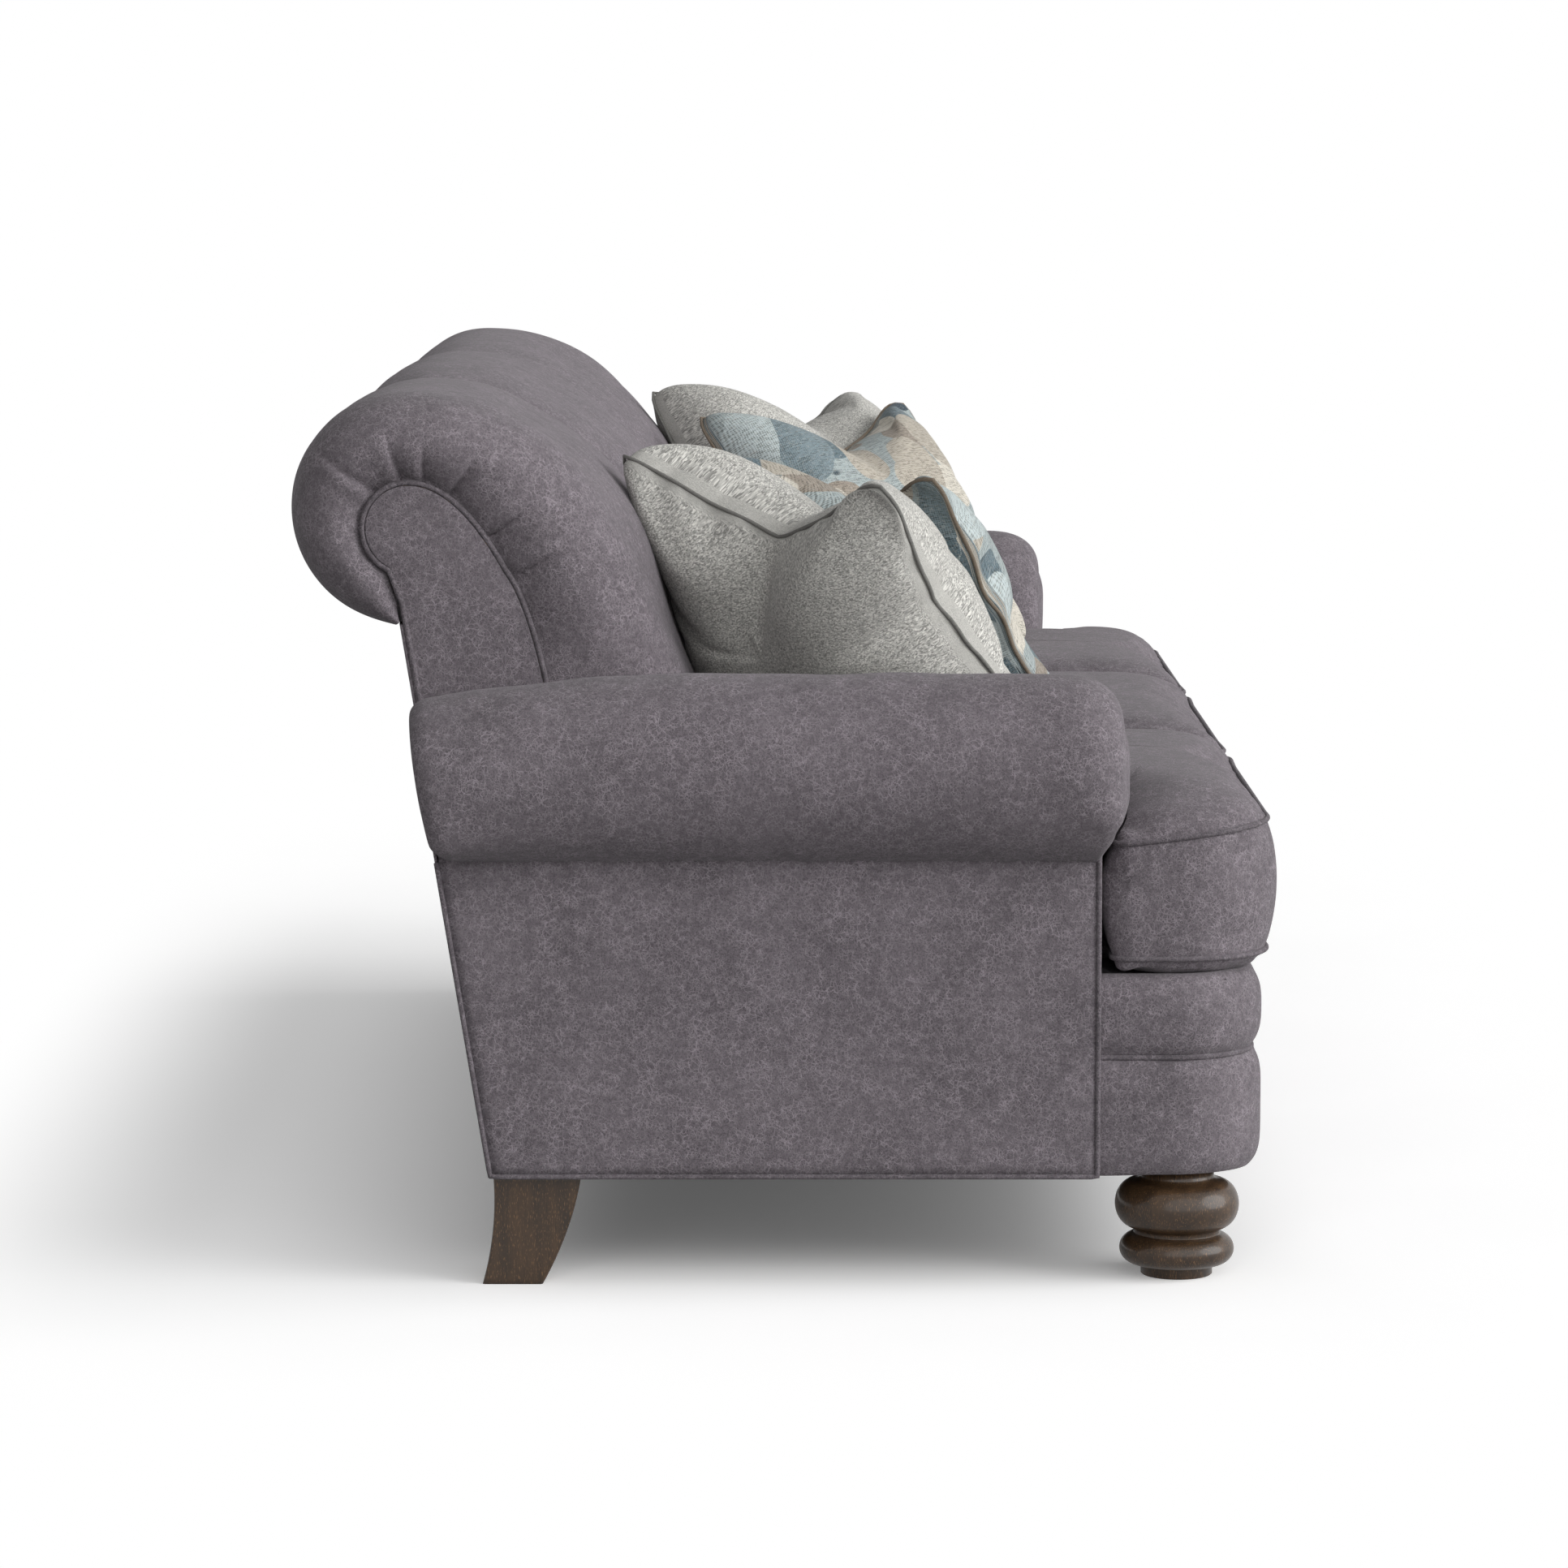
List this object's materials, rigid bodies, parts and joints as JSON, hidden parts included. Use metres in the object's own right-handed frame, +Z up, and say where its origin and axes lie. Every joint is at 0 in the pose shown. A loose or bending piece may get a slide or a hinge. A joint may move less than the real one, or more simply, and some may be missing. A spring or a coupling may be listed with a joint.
{
  "type": "english roll arm sofa",
  "caption": "Roll-arm scroll-back sofa with loose boxed seat cushions, padded back sections, turned front feet, sabre rear legs and throw pillows.",
  "frame": {"origin": "middle of the sofa's footprint, on the floor under its feet", "axes": "+X to the right as seen from the front, along the sofa's width; -Y is the way the seat faces; +Z up"},
  "size_m": [2.2336, 1.0678, 0.953],
  "materials": {
    "cover_fabric": "brushed suede-like cloth",
    "deck_fabric": "plain deck cloth",
    "grey_fabric": "nubby chenille",
    "print_fabric": "printed coarse weave",
    "turned_wood": "dark brown satin",
    "frame_wood": "raw sawn hardwood",
    "spring_steel": "oiled wire",
    "dust_cloth": "black cambric"
  },
  "bodies": {
    "frame": {"back_pad_left": "cover_fabric", "back_pad_middle": "cover_fabric", "back_pad_right": "cover_fabric", "outside_back": "cover_fabric", "front_border": "cover_fabric", "arm_cover_left": "cover_fabric", "arm_cover_right": "cover_fabric", "outside_arm_left": "cover_fabric", "outside_arm_right": "cover_fabric", "arm_welt_left": "cover_fabric", "arm_welt_right": "cover_fabric", "scroll_facing_left": "cover_fabric", "scroll_facing_right": "cover_fabric", "scroll_welt_left": "cover_fabric", "scroll_welt_right": "cover_fabric", "seat_deck": "deck_fabric", "front_foot_left": "turned_wood", "front_foot_right": "turned_wood", "rear_leg_left": "turned_wood", "rear_leg_right": "turned_wood", "front_rail": "frame_wood", "rear_rail": "frame_wood", "back_top_rail": "frame_wood", "seat_stretcher_left": "frame_wood", "seat_stretcher_right": "frame_wood", "front_corner_block_left": "frame_wood", "front_corner_block_right": "frame_wood", "arm_frame_left": "frame_wood", "arm_frame_right": "frame_wood", "scroll_board_left": "frame_wood", "scroll_board_right": "frame_wood", "back_upright_left": "frame_wood", "back_upright_right": "frame_wood", "seat_spring_1": "spring_steel", "seat_spring_2": "spring_steel", "seat_spring_3": "spring_steel", "seat_spring_4": "spring_steel", "seat_spring_5": "spring_steel", "seat_spring_6": "spring_steel", "dust_cover": "dust_cloth"},
    "pillow_grey_left": {"pillow_grey_left": "grey_fabric"},
    "pillow_grey_right": {"pillow_grey_right": "grey_fabric"},
    "pillow_print_left": {"pillow_print_left": "print_fabric"},
    "pillow_print_right": {"pillow_print_right": "print_fabric"},
    "seat_cushion_left": {"seat_cushion_left": "cover_fabric"},
    "seat_cushion_middle": {"seat_cushion_middle": "cover_fabric"},
    "seat_cushion_right": {"seat_cushion_right": "cover_fabric"}
  },
  "joints": [
    {"name": "seat_cushion_left_lift", "type": "slide", "parent": "frame", "child": "seat_cushion_left", "axis": [0, -0.7071, 0.7071], "range_m": [0, 0.5]},
    {"name": "seat_cushion_middle_lift", "type": "slide", "parent": "frame", "child": "seat_cushion_middle", "axis": [0, -0.7071, 0.7071], "range_m": [0, 0.5]},
    {"name": "seat_cushion_right_lift", "type": "slide", "parent": "frame", "child": "seat_cushion_right", "axis": [0, -0.7071, 0.7071], "range_m": [0, 0.5]},
    {"name": "pillow_grey_left_lift", "type": "slide", "parent": "seat_cushion_left", "child": "pillow_grey_left", "axis": [0, 0, 1], "range_m": [0, 0.5]},
    {"name": "pillow_print_left_lift", "type": "slide", "parent": "pillow_grey_left", "child": "pillow_print_left", "axis": [0, -0.7071, 0.7071], "range_m": [0, 0.5]},
    {"name": "pillow_grey_right_lift", "type": "slide", "parent": "seat_cushion_right", "child": "pillow_grey_right", "axis": [0, 0, 1], "range_m": [0, 0.5]},
    {"name": "pillow_print_right_lift", "type": "slide", "parent": "pillow_grey_right", "child": "pillow_print_right", "axis": [0, -0.7071, 0.7071], "range_m": [0, 0.5]}
  ]
}
